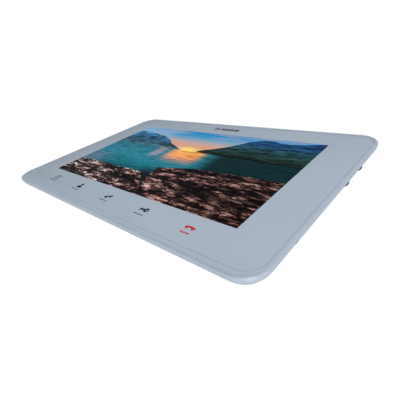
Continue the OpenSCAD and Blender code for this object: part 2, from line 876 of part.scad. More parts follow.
// Moulded rear shell with the bracket's recess, the grille, the vents and the side bosses
module rear_cover() {
    grille_r = speaker_d / 2 - grille_in;
    color("silver") difference() {
        union() {
            difference() {
                cover_outside();
                cover_inside();
            }
            block(-recess_w / 2 - recess_t, recess_w / 2 + recess_t, recess_low - recess_t,
                recess_top + recess_t, cover_floor - 0.5, recess_floor + recess_t);
            layer(cover_floor - 0.5, speaker_front + 2) translate([speaker_x, speaker_z]) difference() {
                circle(d = speaker_d + 2.8);
                circle(d = speaker_d + 2 * play);
            }
            for (s = [-1, 1], z = [-side_screw_z, side_screw_z])
                block(s * (cover_w - boss_inner) / 2 - boss_inner / 2,
                    s * (cover_w - boss_inner) / 2 + boss_inner / 2,
                    z - boss_half, z + boss_half, part_line - cover_t, boss_top);
        }
        block(-recess_w / 2, recess_w / 2, recess_low, recess_top, wall_gap - past, recess_floor);
        layer(recess_floor - past, recess_floor + recess_t + past) round_rect(bay_w, bay_h, 2);
        for (s = [-1, 1], z = [hook_z_low, hook_z_top])
            block(s * hook_x - hook_w / 2 - 0.6, s * hook_x + hook_w / 2 + 0.6,
                z - lift - slot_play, z + bracket_t + running,
                recess_floor - past, recess_floor + recess_t + past);
        layer(wall_gap - past, cover_floor + past) translate([speaker_x, speaker_z])
            for (i = [-3:3]) translate([i * grille_pitch, 0])
                upright_slot(vent_w, 2 * sqrt(pow(grille_r, 2) - pow(i * grille_pitch, 2)));
        layer(wall_gap - past, cover_floor + past) translate([vent_x, vent_z])
            for (i = [-3:3]) translate([i * vent_pitch, 0]) upright_slot(vent_w, vent_h);
        for (z = [dial_z_low, dial_z_top])
            block(dial_x, cover_w / 2, z - dial_d / 2 - dial_slot_play,
                z + dial_d / 2 + dial_slot_play, dial_back - dial_slot_play,
                dial_front + dial_slot_play);
        at_side_screws(side_screw_d + 2 * screw_play, cover_w / 2 - boss_inner - past,
            cover_w / 2 + past);
    }
}

// Four screws through the side walls into the rear cover
module side_screws() {
    seat = cavity_w / 2 + side_t;
    color("dimgray") for (s = [-1, 1], z = [-side_screw_z, side_screw_z])
        translate([s * seat, -side_screw_h, z]) rotate([0, s * 90, 0]) difference() {
            union() {
                cylinder(d = head_d, h = head_t);
                translate([0, 0, -side_t - boss_inner]) cylinder(d = side_screw_d, h = side_t + boss_inner);
            }
            for (turn = [0, 90])
                rotate([0, 0, turn])
                    translate([-head_slot_l / 2, -head_slot_w / 2, head_t - head_slot_depth])
                        cube([head_slot_l, head_slot_w, head_slot_depth + past]);
        }
}

// Sheet steel wall bracket with four hooks cut and bent out of the plate
module wall_bracket() {
    tab = hook_rise + hook_reach;
    color("gainsboro") {
        layer(0, bracket_t) difference() {
            round_rect(bracket_w, bracket_h, 6);
            round_rect(window_w, window_h, 3);
            for (sx = [-1, 1], sz = [-1, 1])
                translate([sx * screw_pitch / 2, sz * screw_pitch / 2]) circle(d = wall_hole_d);
            for (s = [-1, 1], z = [hook_z_low, hook_z_top])
                translate([s * hook_x - hook_w / 2 - slot_play, z + bracket_t])
                    square([hook_w + 2 * slot_play, tab - bracket_t]);
        }
        for (s = [-1, 1], z = [hook_z_low, hook_z_top]) {
            block(s * hook_x - hook_w / 2, s * hook_x + hook_w / 2, z, z + bracket_t, 0, hook_reach);
            block(s * hook_x - hook_w / 2, s * hook_x + hook_w / 2, z, z + bracket_t + hook_rise,
                hook_reach - bracket_t, hook_reach);
        }
    }
}

front_panel();
panel_tape();
display_gasket();
front_housing();
lcd_bezel();
lcd_cell();
diffuser_sheets();
light_guide();
led_strip();
backlight_tray();
chassis_plate();
chassis_screws();
touch_board();
touch_pads();
touch_screws();
touch_cable();
microphone();
microphone_boot();
microphone_leads();
main_board();
board_chips();
board_capacitors();
board_standoffs();
board_screws();
bus_connectors();
power_terminal();
display_cable();
dial_board();
dial_board_screw();
dial_leads();
brightness_pot();
volume_pot();
brightness_dial();
volume_dial();
speaker_frame();
speaker_cone();
speaker_magnet();
speaker_gasket();
speaker_leads();
rear_cover();
side_screws();
wall_bracket();
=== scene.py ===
"""Looks for a wall-mounted video intercom monitor, laid out as a Blender add-on.

Lengths in this file are in millimetres unless a name or a property says metres. Flat pieces are drawn
in (across, up) as seen from the front, with a third value for the distance from the wall.
"""
import math

import bmesh
import bpy
from bpy.props import FloatProperty, FloatVectorProperty, IntProperty, PointerProperty
from bpy.types import Operator, Panel, PropertyGroup
from mathutils import Matrix, Vector
from mathutils.geometry import tessellate_polygon


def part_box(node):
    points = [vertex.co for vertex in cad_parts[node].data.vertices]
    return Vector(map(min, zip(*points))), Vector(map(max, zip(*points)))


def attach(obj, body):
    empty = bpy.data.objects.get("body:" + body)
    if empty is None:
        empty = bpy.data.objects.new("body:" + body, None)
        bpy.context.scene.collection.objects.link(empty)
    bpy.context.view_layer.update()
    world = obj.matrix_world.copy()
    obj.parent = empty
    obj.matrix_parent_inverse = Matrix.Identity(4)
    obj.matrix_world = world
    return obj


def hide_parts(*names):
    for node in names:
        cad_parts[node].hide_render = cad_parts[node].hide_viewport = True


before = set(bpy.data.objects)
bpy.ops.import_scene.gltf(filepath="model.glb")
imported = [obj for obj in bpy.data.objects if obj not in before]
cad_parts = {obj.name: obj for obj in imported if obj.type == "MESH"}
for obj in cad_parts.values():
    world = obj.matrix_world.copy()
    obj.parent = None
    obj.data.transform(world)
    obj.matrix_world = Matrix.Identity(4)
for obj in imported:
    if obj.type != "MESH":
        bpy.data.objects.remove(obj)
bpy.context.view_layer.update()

bl_info = {
    "name": "Video intercom monitor looks",
    "version": (1, 0, 0),
    "blender": (4, 5, 0),
    "location": "3D View > Sidebar > Intercom",
    "description": "Finishes, printed symbols, lit picture, wheels and screws of an intercom monitor",
    "category": "Object",
}

MM = 0.001

# Nodes by Blender's own names
MATH = "ShaderNodeMath"
MIX = "ShaderNodeMix"
NOISE = "ShaderNodeTexNoise"
CELLS = "ShaderNodeTexVoronoi"
RAMP = "ShaderNodeValToRGB"
RANGE = "ShaderNodeMapRange"
MAPPING = "ShaderNodeMapping"
MIX_A, MIX_B, MIX_RESULT = 6, 7, 2


def linear(code):
    """Linear red, green, blue and alpha from an sRGB hex colour."""
    channels = [int(code[i:i + 2], 16) / 255 for i in (0, 2, 4)]
    return [c / 12.92 if c <= 0.04045 else ((c + 0.055) / 1.055) ** 2.4 for c in channels] + [1.0]


def shade(colour, factor):
    """A linear colour made lighter or darker."""
    return [min(1.0, c * factor) for c in colour[:3]] + [1.0]


# ---------------------------------------------------------------- settings


class IntercomFinishes(PropertyGroup):
    face: FloatVectorProperty(
        name="Face", description="Silver-blue print behind the acrylic", subtype="COLOR",
        min=0.0, max=1.0, default=linear("B9C5D2")[:3])
    housing: FloatVectorProperty(
        name="Housing", description="Satin paint on the front housing", subtype="COLOR",
        min=0.0, max=1.0, default=linear("B6C2D0")[:3])
    cover: FloatVectorProperty(
        name="Rear cover", description="Moulded colour of the rear cover", subtype="COLOR",
        min=0.0, max=1.0, default=linear("A3ADB9")[:3])
    wheel: FloatVectorProperty(
        name="Thumbwheels", description="Moulded colour of the thumbwheels", subtype="COLOR",
        min=0.0, max=1.0, default=linear("0E0F11")[:3])
    ink: FloatVectorProperty(
        name="Ink", description="Ink of the key symbols", subtype="COLOR",
        min=0.0, max=1.0, default=linear("1E242E")[:3])
    pale_ink: FloatVectorProperty(
        name="Pale ink", description="Ink of the menu symbol and the captions", subtype="COLOR",
        min=0.0, max=1.0, default=linear("6C7684")[:3])
    red_ink: FloatVectorProperty(
        name="Red ink", description="Ink of the hang-up symbol", subtype="COLOR",
        min=0.0, max=1.0, default=linear("C9303A")[:3])


class IntercomSizes(PropertyGroup):
    view_width: FloatProperty(
        name="Lit width", description="Width of the lit area", unit="LENGTH",
        min=0.1, max=0.2, default=0.15408)
    view_height: FloatProperty(
        name="Lit height", description="Height of the lit area", unit="LENGTH",
        min=0.05, max=0.12, default=0.08592)
    view_up: FloatProperty(
        name="Lit centre", description="Height of the lit area's centre", unit="LENGTH",
        min=-0.01, max=0.01, default=0.001)
    key_spacing: FloatProperty(
        name="Key spacing", description="Spacing of the touch keys", unit="LENGTH",
        min=0.02, max=0.035, default=0.03)
    key_down: FloatProperty(
        name="Key drop", description="How far the key symbols are below the centre", unit="LENGTH",
        min=0.045, max=0.055, default=0.0498)
    print_build: FloatProperty(
        name="Print thickness", description="Thickness of the printed symbols", unit="LENGTH",
        min=0.00001, max=0.0001, default=0.00003, precision=5)
    knurls: IntProperty(
        name="Knurls", description="Grooves round a thumbwheel", min=12, max=60, default=30)


class IntercomPicture(PropertyGroup):
    horizon: FloatProperty(
        name="Horizon", description="Height of the far shore above the centre", unit="LENGTH",
        min=0.0, max=0.03, default=0.0125)
    brightness: FloatProperty(
        name="Brightness", description="Brightness of the lit picture",
        min=0.0, max=10.0, default=0.75)


class IntercomStage(PropertyGroup):
    floor_down: FloatProperty(
        name="Floor", description="How far the floor is below the monitor", unit="LENGTH",
        min=0.2, max=3.0, default=1.45)
    key_power: FloatProperty(
        name="Key light", description="Power of the large soft light", subtype="POWER",
        min=0.0, max=500.0, default=3.0)
    low_power: FloatProperty(
        name="Low light", description="Power of the soft light low on the right", subtype="POWER",
        min=0.0, max=500.0, default=9.0)


# ---------------------------------------------------------------- materials


def add(tree, kind, inputs=(), out=0, stops=None, curve=None, **settings):
    """Adds a node, gives it its settings, and fills its inputs with values or links."""
    made = tree.nodes.new(kind)
    for name, value in settings.items():
        setattr(made, name, value)
    for place, value in dict(inputs).items():
        if isinstance(value, bpy.types.NodeSocket):
            tree.links.new(value, made.inputs[place])
        else:
            made.inputs[place].default_value = value
    if stops:
        ramp = made.color_ramp
        while len(ramp.elements) < len(stops):
            ramp.elements.new(1.0)
        for element, (position, code) in zip(ramp.elements, stops):
            element.position = position
            element.color = linear(code) if isinstance(code, str) else code
    if curve:
        points = made.mapping.curves[0].points
        while len(points) < len(curve):
            points.new(0.5, 0.5)
        for point, (x, y) in zip(points, curve):
            point.location = (x, y)
        made.mapping.update()
    return made if out is None else made.outputs[out]


def mix(tree, amount, one, other, blend="MIX"):
    """One colour with another laid over it, by an amount from 0 to 1."""
    return add(tree, MIX, {0: amount, MIX_A: one, MIX_B: other}, MIX_RESULT, data_type="RGBA",
               blend_type=blend)


def new_material(name, **sockets):
    """An empty material with one Principled shader, whose plain values are set on its own sockets."""
    material = bpy.data.materials.new(name)
    material.use_nodes = True
    shader = material.node_tree.nodes["Principled BSDF"]
    for socket, value in sockets.items():
        shader.inputs[socket.replace("_", " ")].default_value = value
    return material, material.node_tree, shader


def place_in_mm(tree):
    """Where a point of the piece is, in millimetres, the same from every side."""
    where = add(tree, "ShaderNodeTexCoord", out=3)
    return add(tree, "ShaderNodeVectorMath", {0: where, "Scale": 1 / MM}, operation="SCALE")


def grain_of(tree, size, stretch=(1, 1, 1), detail=2.0, roughness=0.5, turn=0.0):
    """A cloudy pattern from 0 to 1 whose spots are size mm across, drawn out by stretch."""
    scale = [1 / (size * s) for s in stretch]
    spot = add(tree, MAPPING, {0: place_in_mm(tree), "Rotation": (0, turn, 0), "Scale": scale})
    return add(tree, NOISE, {0: spot, "Scale": 1.0, "Detail": detail, "Roughness": roughness})


def surface(name, colour, roughness, grain, relief, mottle=0.05, spread=0.06, cloud=30.0,
            stretch=(1, 1, 1), edge=0.0, **sockets):
    """A finish whose colour, gloss and height follow its grain. Grain, relief, cloud and edge are in mm.

    The colour and the gloss also drift over clouds of a larger size, as handling leaves them."""
    material, tree, shader = new_material(name, **sockets)
    fine = grain_of(tree, grain, stretch, detail=3.0)
    broad = grain_of(tree, cloud, detail=3.0, roughness=0.6)
    both = add(tree, MATH, {0: fine, 1: broad}, operation="ADD")
    drift = add(tree, RANGE, {0: both, 1: 0.65, 2: 1.35, 3: 0.0, 4: 1.0})
    tint = add(tree, RAMP, {0: drift}, stops=[
        (0.0, shade(colour, 1 - mottle)), (1.0, shade(colour, 1 + mottle))])
    tree.links.new(tint, shader.inputs["Base Color"])
    gloss = add(tree, RANGE, {0: both, 1: 0.6, 2: 1.4, 3: roughness - spread, 4: roughness + spread})
    tree.links.new(gloss, shader.inputs["Roughness"])
    bump = {"Strength": 1.0, "Distance": relief * MM, "Height": fine}
    if edge:
        bump["Normal"] = add(tree, "ShaderNodeBevel", {"Radius": edge * MM}, samples=6)
    tree.links.new(add(tree, "ShaderNodeBump", bump), shader.inputs["Normal"])
    return material


def satin_painted_abs(colour):
    # Satin paint sprayed on moulded ABS: an even pearly face with a very slight orange peel and
    # edges that catch a soft line of light. The peel is 0.8 mm, drawn as it is.
    return surface("satin_painted_abs", colour, 0.38, grain=0.8, relief=0.0015, mottle=0.015,
                   edge=0.18, Coat_Weight=0.15, Coat_Roughness=0.25, Specular_IOR_Level=0.4)


def back_printed_acrylic(colour):
    # Polished acrylic printed with silver-blue ink from behind: a flat metallic-looking colour with
    # a clear gloss over it. The ink's flakes are 0.05 mm, drawn at 0.3 mm so that they show.
    return surface("back_printed_acrylic", colour, 0.42, grain=0.3, relief=0.0006, mottle=0.022,
                   cloud=60.0, Specular_IOR_Level=0.25, Coat_Weight=0.6, Coat_Roughness=0.03,
                   Coat_IOR=1.49)


def spark_eroded_abs(colour):
    # Unpainted ABS from a spark-eroded mould: a dull, fine-pitted skin. The pits are 0.15 mm,
    # drawn at 0.35 mm so that they show.
    return surface("spark_eroded_abs", colour, 0.56, grain=0.35, relief=0.02, mottle=0.045,
                   edge=0.2, Specular_IOR_Level=0.4)


def moulded_acetal(colour):
    # Black acetal from a polished mould: slightly waxy, with greyer crests where fingers rub.
    return surface("moulded_black_acetal", colour, 0.46, grain=0.4, relief=0.006, mottle=0.25,
                   cloud=6.0, edge=0.1, IOR=1.48, Specular_IOR_Level=0.25)


def zinc_plated_steel():
    # Rolled sheet steel with bright zinc: bluish grey metal with rolling lines along its length and
    # cloudy patches of plating. The lines are 0.1 mm apart, drawn at 0.4 mm.
    return surface("zinc_plated_rolled_steel", linear("A6ABB1"), 0.44, grain=0.4, relief=0.004,
                   mottle=0.1, spread=0.1, cloud=9.0, stretch=(30, 1, 1), edge=0.2, Metallic=1.0)


def ink_print(name, colour):
    # Screen-printed ink, about 30 micrometres thick: dull, dense and faintly speckled by the mesh,
    # whose threads are 0.1 mm apart and are drawn at 0.2 mm.
    return surface(name, colour, 0.5, grain=0.2, relief=0.002, mottle=0.12, cloud=3.0,
                   Specular_IOR_Level=0.3)


def solder_masked_board():
    # Glass epoxy board with green solder mask over copper: dark laminate, lighter traces that run
    # square to each other, and tinned pads. Traces are 0.8 mm wide and pads 1.3 mm across.
    material, tree, shader = new_material("solder_masked_board", Specular_IOR_Level=0.5)
    point = place_in_mm(tree)
    flat = add(tree, MAPPING, {0: point, "Rotation": (math.radians(90), 0, 0)})
    blocks = add(tree, CELLS, {"Vector": flat, "Scale": 0.16}, voronoi_dimensions="2D",
                 feature="F1", distance="CHEBYCHEV", out=None)
    rings = add(tree, MATH, {0: blocks.outputs[0], 1: 1.1}, operation="PINGPONG")
    lines = add(tree, MATH, {0: rings, 1: 5.0}, operation="MULTIPLY")
    fold = add(tree, MATH, {0: lines, 1: 0.5}, operation="PINGPONG")
    trace = add(tree, RANGE, {0: fold, 1: 0.2, 2: 0.26, 3: 0.0, 4: 1.0})
    masked = add(tree, RAMP, {0: trace}, stops=[(0.0, "0C3A20"), (1.0, "1D6A3C")])
    holes = add(tree, CELLS, {"Vector": flat, "Scale": 0.28, "Randomness": 0.6},
                voronoi_dimensions="2D", feature="F1")
    pad = add(tree, RANGE, {0: holes, 1: 0.19, 2: 0.17, 3: 0.0, 4: 1.0})
    colour = mix(tree, pad, masked, linear("C9C6BC"))
    for value, socket in ((colour, "Base Color"), (pad, "Metallic"),
                          (add(tree, RANGE, {0: trace, 1: 0, 2: 1, 3: 0.28, 4: 0.4}), "Roughness")):
        tree.links.new(value, shader.inputs[socket])
    relief = add(tree, "ShaderNodeBump", {"Strength": 1.0, "Distance": 0.035 * MM, "Height": trace})
    tree.links.new(relief, shader.inputs["Normal"])
    return material


def lit_picture(settings, width, height):
    # A lit display behind polished acrylic, showing a made-up lake at sunset: mountains on both
    # sides, a warm glow on the far shore with its reflection, and flat rocks in front. The colours
    # are mostly given out as light, the dyes of its dark areas show a little under room light, and
    # the acrylic over them adds only a faint gloss.
    material, tree, shader = new_material(
        "lit_display_picture", Roughness=0.05,
        Specular_IOR_Level=0.2, Emission_Strength=settings.brightness)
    point = place_in_mm(tree)
    split = add(tree, "ShaderNodeSeparateXYZ", {0: point}, out=None)
    across, up = split.outputs["X"], split.outputs["Z"]
    half, shore = width / 2, settings.horizon / MM
    low, top = -height / 2, height / 2 + 1

    def calc(operation, *values):
        return add(tree, MATH, dict(enumerate(values)), operation=operation)

    def both(one, other):
        return calc("MULTIPLY", one, other)

    def apart(one, other):
        return calc("ABSOLUTE", calc("SUBTRACT", one, other))

    def ramp(value, *stops):
        return add(tree, RAMP, {0: value}, stops=stops)

    def cloudy(size, stretch=(1, 1, 1), detail=4.0, roughness=0.55, turn=0.0):
        return grain_of(tree, size, stretch, detail, roughness, math.radians(turn))

    def span(value, start, end, low_out=0.0, high_out=1.0, smooth=True):
        """How far a value is from start to end, as 0 to 1 or between the two given values."""
        return add(tree, RANGE, {0: value, 1: start, 2: end, 3: low_out, 4: high_out},
                   interpolation_type="SMOOTHSTEP" if smooth else "LINEAR")

    along = span(across, -half, half, smooth=False)

    def outline(points, rough, size):
        """The height of a skyline along the picture, from a few points and some roughness."""
        line = add(tree, "ShaderNodeFloatCurve", {1: along}, curve=[
            ((x + half) / width, (y - low) / height) for x, y in points])
        level = calc("MULTIPLY_ADD", line, height, low)
        crags = calc("MULTIPLY_ADD", cloudy(size, (1, 1, 9), 6.0), 2 * rough, -rough)
        return calc("ADD", level, crags)

    def under(level, soft=0.25):
        """1 below a skyline and 0 above it."""
        return span(calc("SUBTRACT", level, up), -soft, soft)

    # Sky: warm at the shore, blue above, paler at both sides, with long thin clouds
    rise = span(up, shore, top, smooth=False)
    sky = ramp(rise, (0.0, "EDB070"), (0.2, "DA9C7C"), (0.38, "C8A294"), (0.56, "7F9FB6"),
               (0.72, "3A92C2"), (1.0, "1580B8"))
    pale = ramp(along, (0.0, "E6E6E6"), (0.22, "BCBCBC"), (0.31, "303030"), (0.5, "080808"),
                (0.66, "6A6A6A"), (1.0, "9A9A9A"))
    hazy = both(pale, span(rise, 0.2, 0.6))
    bars = span(cloudy(9.0, (3.2, 1, 0.42), 5.0), 0.47, 0.66)
    glow = add(tree, "ShaderNodeVectorMath", {0: add(tree, MAPPING, {
        0: point, "Location": (0.3, 0, -2.1 * shore / 12.5), "Scale": (0.1, 0.0, 0.17)})}, 1,
        operation="LENGTH")
    sun = span(glow, 1.35, 0.12)

    # Mountains: cold blue far ridges, darker green slopes nearer the shore
    left = under(outline([(-half, 35), (-50, 32), (-34, 27), (-22, 19), (-10, shore + 1),
                          (4, shore - 4), (half, shore - 6)], 1.6, 7.0))
    right = under(outline([(-half, shore - 6), (2, shore - 3), (8, shore + 3), (15, 20), (24, 28),
                           (34, 38.5), (42, 41), (54, 39), (half, 45)], 1.8, 8.0))
    falling = cloudy(3.0, (2.4, 1, 0.6), 8.0, 0.7, 28)
    rising = cloudy(3.0, (3.2, 1, 0.5), 8.0, 0.7, -16)
    slopes = mix(tree, span(across, -8, 8), falling, rising)
    crags = span(slopes, 0.4, 0.6, 0.04, 1.9, smooth=False)
    far_side = ramp(rise, (0.0, "48687A"), (0.18, "2C566C"), (0.4, "2A5E82"), (0.6, "3A7CA6"),
                    (1.0, "5A92B6"))
    near_side = ramp(rise, (0.0, "0A1212"), (0.12, "182A26"), (0.3, "203E3C"), (0.5, "204A54"),
                     (0.7, "17406A"), (1.0, "153F6C"))

    # Water: teal, still, darker towards the front, with the glow and the far shore in it
    water = ramp(span(up, shore, low, smooth=False), (0.0, "2F6F80"), (0.1, "2B7488"),
                 (0.3, "2A7C90"), (0.45, "1C7484"), (0.6, "0C5A64"), (0.8, "114A50"))
    bed = both(span(across, -45, -70), span(up, -4, -14))
    dark_side = span(across, 15, 30)
    lane = both(span(apart(across, 1.5), 18, 8), span(up, -9, 3))
    lane_colour = ramp(span(up, shore, -8, smooth=False), (0.0, "F7B25C"), (0.35, "F09A5C"),
                       (0.6, "CC8F70"), (1.0, "6F7A74"))
    streak = both(span(apart(across, -22), 7, 1), span(up, -5, 4))
    ripples = span(cloudy(3.0, (3.6, 1, 0.24), 5.0, 0.65), 0.36, 0.64, 0.55, 1.4, smooth=False)
    cleft = both(span(across, -16, -4), span(up, -11, -24))

    # Rocks: two broken slabs of pinkish-brown stone that meet at a dark seam
    stone = ramp(cloudy(4.6, (2.2, 1, 0.5), 9.0, 0.76, 19), (0.42, "0A0606"), (0.475, "442C28"),
                 (0.515, "906C66"), (0.56, "CCB0A8"), (0.62, "F8E4DC"))
    grit = span(cloudy(1.5, (1.8, 1, 0.6), 4.0, 0.7, 24), 0.4, 0.6, 0.3, 1.6, smooth=False)
    ledges = span(cloudy(12.0, (2.4, 1, 0.34), 6.0, 0.62, 16), 0.45, 0.51, 0.14, 1.1, smooth=False)
    grid = add(tree, MAPPING, {0: point, "Rotation": (0, math.radians(16), 0),
                               "Scale": (0.06, 0.0, 0.17)})
    warped = add(tree, "ShaderNodeVectorMath", {0: grid, 1: add(
        tree, NOISE, {0: grid, "Scale": 2.0, "Detail": 5.0}, 1)}, operation="ADD")
    crack = span(add(tree, CELLS, {"Vector": warped, "Scale": 1.0}, feature="DISTANCE_TO_EDGE"),
                 0.01, 0.1)
    right_edge = calc("MULTIPLY_ADD", up, 0.36, 6.75)
    beyond = span(calc("ADD", across, right_edge), -0.5, 0.6)
    right_rock = both(under(outline([(-half, -13), (0, -13), (10, -10), (26, -7), (50, -5),
                                     (half, -3.5)], 0.9, 6.0), 0.4), beyond)
    left_edge = outline([(-half, -22), (-58, -21.5), (-30, -22), (-8, -22.4), (3.5, -30.3),
                         (11.4, -38), (24, -50), (half, -60)], 0.6, 5.0)
    rocks = calc("MAXIMUM", right_rock, under(left_edge, 0.4))
    seam = both(span(apart(left_edge, up), 2.0, 0.5), span(across, -6, 0))
    evening = ramp(along, (0.0, "DDE8F2"), (0.38, "E6E4E6"), (0.55, "D8C6C4"), (0.8, "B8A4A0"),
                   (1.0, "A08C88"))
    lit_stone = mix(tree, 1.0, stone, both(ledges, grit), "MULTIPLY")
    lit_stone = mix(tree, crack, linear("150D0D"), lit_stone)
    lit_stone = mix(tree, 1.0, lit_stone, evening, "MULTIPLY")
    lit_stone = mix(tree, both(seam, 0.9), lit_stone, linear("0A0707"))

    # Painted from the back to the front
    picture = sky
    for amount, colour in ((hazy, linear("8FB0D0")), (both(bars, 0.4), linear("C9A9A6")),
                           (sun, linear("FFE272")), (left, far_side), (right, near_side)):
        picture = mix(tree, amount, picture, colour)
    land = calc("MAXIMUM", left, right)
    picture = mix(tree, both(land, 0.85), picture, crags, "MULTIPLY")
    lake = water
    for amount, colour in ((both(bed, 0.75), linear("5F7790")), (both(streak, 0.7), linear("A89BA0")),
                           (lane, lane_colour), (dark_side, linear("08282B")),
                           (both(cleft, 0.95), linear("0A1214"))):
        lake = mix(tree, amount, lake, colour)
    lake = mix(tree, 1.0, lake, ripples, "MULTIPLY")
    picture = mix(tree, span(up, shore + 0.15, shore - 0.15), picture, lake)
    picture = mix(tree, rocks, picture, lit_stone)
    unlit = mix(tree, 1.0, picture, linear("9C9C9C"), "MULTIPLY")
    tree.links.new(unlit, shader.inputs["Base Color"])
    tree.links.new(picture, shader.inputs["Emission Color"])
    return material


# ---------------------------------------------------------------- mesh work

# Turns (across, up, distance from the wall) into the frame's axes
FROM_WALL = Matrix(((1, 0, 0, 0), (0, 0, -1, 0), (0, 1, 0, 0), (0, 0, 0, 1)))


def rounded_outline(width, height, radius, centre=(0.0, 0.0), steps=12):
    """A rounded rectangle as a function that gives its points, drawn in by an inset."""
    def at(inset):
        half = (width / 2 - inset, height / 2 - inset)
        r = max(radius - inset, 0.0)
        points = []
        for quarter, (sx, sy) in enumerate(((1, 1), (-1, 1), (-1, -1), (1, -1))):
            for step in range(steps + 1):
                turn = math.radians(90 * (quarter + step / steps)) if steps else 0.0
                points.append((centre[0] + sx * (half[0] - r) + r * math.cos(turn),
                               centre[1] + sy * (half[1] - r) + r * math.sin(turn)))
        return points
    return at


def round_outline(diameter, centre=(0.0, 0.0), steps=32):
    """A circle as a function that gives its points, drawn in by an inset."""
    def at(inset):
        r = diameter / 2 - inset
        return [(centre[0] + r * math.cos(2 * math.pi * i / steps),
                 centre[1] + r * math.sin(2 * math.pi * i / steps)) for i in range(steps)]
    return at


def fixed_outline(points):
    """A drawn outline that ignores the inset."""
    return lambda inset: points


def bridge(mesh, one, other):
    """Quads between two rings of the same length."""
    for i in range(len(one)):
        mesh.faces.new((one[i - 1], one[i], other[i], other[i - 1]))


def fill(mesh, loops):
    """A flat face over an outline and its holes."""
    verts = [v for loop in loops for v in loop]
    for corners in tessellate_polygon([[v.co for v in loop] for loop in loops]):
        if len(set(corners)) == 3:
            mesh.faces.new([verts[i] for i in corners])


def plate(mesh, outer, holes, profile):
    """A flat solid. Each loop follows the profile's (inset, height) steps, and both ends are filled."""
    rings = []
    for loop, sign in [(outer, 1)] + [(hole, -1) for hole in holes]:
        rings.append([[mesh.verts.new((x, y, height)) for x, y in loop(sign * inset)]
                      for inset, height in profile])
        for one, other in zip(rings[-1], rings[-1][1:]):
            bridge(mesh, one, other)
    for end in (0, -1):
        fill(mesh, [loop_rings[end] for loop_rings in rings])


def edge_steps(radius, front, back, steps=5):
    """A profile with a rounded front edge: from the front face to the back."""
    bend = [(radius * (1 - math.sin(t)), front - radius * (1 - math.cos(t)))
            for t in (math.radians(90 * i / steps) for i in range(steps + 1))]
    return bend + [(0.0, back)]


def join(mesh, part, seat):
    """Moves a small mesh to its seat and adds it to a larger one."""
    bmesh.ops.transform(part, matrix=seat, verts=part.verts)
    data = bpy.data.meshes.new("part")
    part.to_mesh(data)
    part.free()
    mesh.from_mesh(data)
    bpy.data.meshes.remove(data)


def make_piece(name, mesh, material, body, replaces=(), place=FROM_WALL, smooth=35.0):
    """Turns a mesh drawn in millimetres off the wall into a piece that rides on a body."""
    bmesh.ops.transform(mesh, matrix=place, verts=mesh.verts)
    bmesh.ops.remove_doubles(mesh, verts=mesh.verts, dist=0.0005)
    bmesh.ops.recalc_face_normals(mesh, faces=mesh.faces)
    bmesh.ops.scale(mesh, vec=(MM, MM, MM), verts=mesh.verts)
    data = bpy.data.meshes.new(name)
    mesh.to_mesh(data)
    mesh.free()
    data.shade_smooth()
    data.set_sharp_from_angle(angle=math.radians(smooth))
    data.materials.append(material)
    piece = bpy.data.objects.new(name, data)
    bpy.context.scene.collection.objects.link(piece)
    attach(piece, body)
    if replaces:
        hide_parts(*replaces)
    return piece


def finish_nodes(names, material):
    """Gives CAD nodes a finish in place of their plain one."""
    for name in names:
        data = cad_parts[name].data
        data.materials.clear()
        data.materials.append(material)


def node_box(name):
    """A CAD node's lowest and highest corner in millimetres."""
    return [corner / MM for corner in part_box(name)]


# ---------------------------------------------------------------- operators


class INTERCOM_OT_casework(Operator):
    """Finish the front housing, the rear cover and the wall bracket"""
    bl_idname = "intercom.casework"
    bl_label = "Casework"

    def execute(self, context):
        finishes = context.scene.intercom_finishes
        finish_nodes(["front_housing"], satin_painted_abs(finishes.housing))
        finish_nodes(["rear_cover"], spark_eroded_abs(finishes.cover))
        finish_nodes(["wall_bracket"], zinc_plated_steel())
        return {"FINISHED"}


class INTERCOM_OT_front_window(Operator):
    """Make the acrylic front window, printed from behind, with its microphone hole"""
    bl_idname = "intercom.front_window"
    bl_label = "Front window"

    def execute(self, context):
        sizes = context.scene.intercom_sizes
        low, high = node_box("front_panel")
        front, back = -low.y - sizes.print_build / MM, -high.y
        mic = node_box("microphone")
        mic_centre = ((mic[0].x + mic[1].x) / 2, (mic[0].z + mic[1].z) / 2)
        opening = rounded_outline(sizes.view_width / MM, sizes.view_height / MM, 0.0,
                                  (0.0, sizes.view_up / MM), steps=0)
        mesh = bmesh.new()
        edge, corner, mic_hole, mic_edge = 0.25, 8.8, 1.2, 0.6
        outer = rounded_outline(high.x - low.x, high.z - low.z, corner, steps=20)
        # The display opening's sides are square, because the picture stands flush in it. The
        # microphone hole's edge is rounded less than the window's.
        plate(mesh, outer, [lambda inset: opening(0.0), lambda inset: round_outline(
            mic_hole, mic_centre)(inset * mic_edge)], edge_steps(edge, front, back))
        make_piece("front_window", mesh, back_printed_acrylic(
            context.scene.intercom_finishes.face), "monitor", ["front_panel"])
        return {"FINISHED"}


class INTERCOM_OT_display_picture(Operator):
    """Make the clear part of the window with the lit picture behind it"""
    bl_idname = "intercom.display_picture"
    bl_label = "Display picture"

    def execute(self, context):
        sizes = context.scene.intercom_sizes
        low, high = node_box("front_panel")
        width, height = sizes.view_width / MM, sizes.view_height / MM
        mesh = bmesh.new()
        plate(mesh, rounded_outline(width, height, 0.0, (0.0, sizes.view_up / MM), steps=0), [],
              [(0.0, -low.y - sizes.print_build / MM), (0.0, -high.y)])
        make_piece("display_picture", mesh, lit_picture(
            context.scene.intercom_picture, width, height), "monitor")
        return {"FINISHED"}


